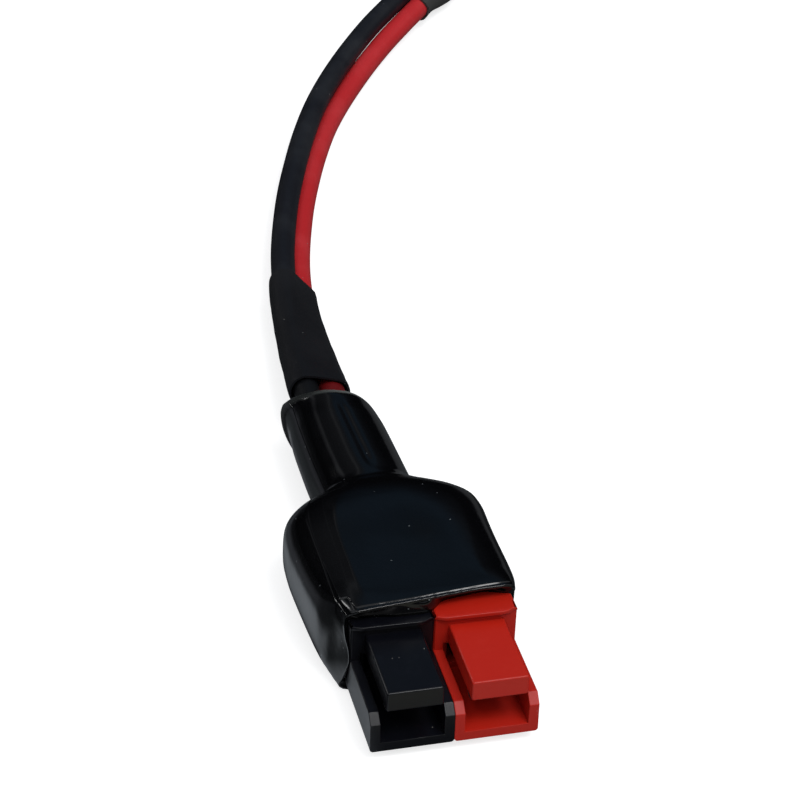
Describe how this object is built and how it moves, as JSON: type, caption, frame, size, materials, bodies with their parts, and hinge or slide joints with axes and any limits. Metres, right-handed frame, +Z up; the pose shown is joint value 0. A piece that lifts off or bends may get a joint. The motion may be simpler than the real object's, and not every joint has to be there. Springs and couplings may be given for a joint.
{
  "type": "two-pole battery connector on a charging lead",
  "caption": "Genderless power connector, black and red housings side by side in a soft boot, on a red and black twin lead with shrink sleeves and a coiled two core lead.",
  "frame": {"origin": "on the surface the boot lies on, under the middle of the housings and boot", "axes": "+X from the black housing to the red one, +Y from the mating end to the neck, +Z up"},
  "size_m": [0.0821, 0.2449, 0.0124],
  "materials": {
    "black_housing": "black moulded polycarbonate with a slight sheen",
    "red_housing": "bright red moulded polycarbonate with a slight sheen",
    "steel": "bright stainless steel",
    "tinned_copper": "tin plated copper",
    "strands": "bare copper strands",
    "boot": "glossy soft black vinyl",
    "black_insulation": "satin black insulation",
    "red_insulation": "satin crimson insulation",
    "sleeve": "satin black shrink tube",
    "jacket": "satin black cable jacket"
  },
  "bodies": {
    "root": {"black_housing": "black_housing", "red_housing": "red_housing", "retaining_pin": "steel", "black_contact": "tinned_copper", "red_contact": "tinned_copper", "black_spring": "steel", "red_spring": "steel", "black_strands": "strands", "red_strands": "strands", "boot": "boot", "black_wire": "black_insulation", "red_wire": "red_insulation", "lower_sleeve": "sleeve", "upper_sleeve": "sleeve", "lead_run": "jacket", "lead_coil": "jacket", "lead_tail": "jacket", "black_core": "black_insulation", "red_core": "red_insulation", "black_tip": "tinned_copper", "red_tip": "tinned_copper"}
  },
  "joints": []
}
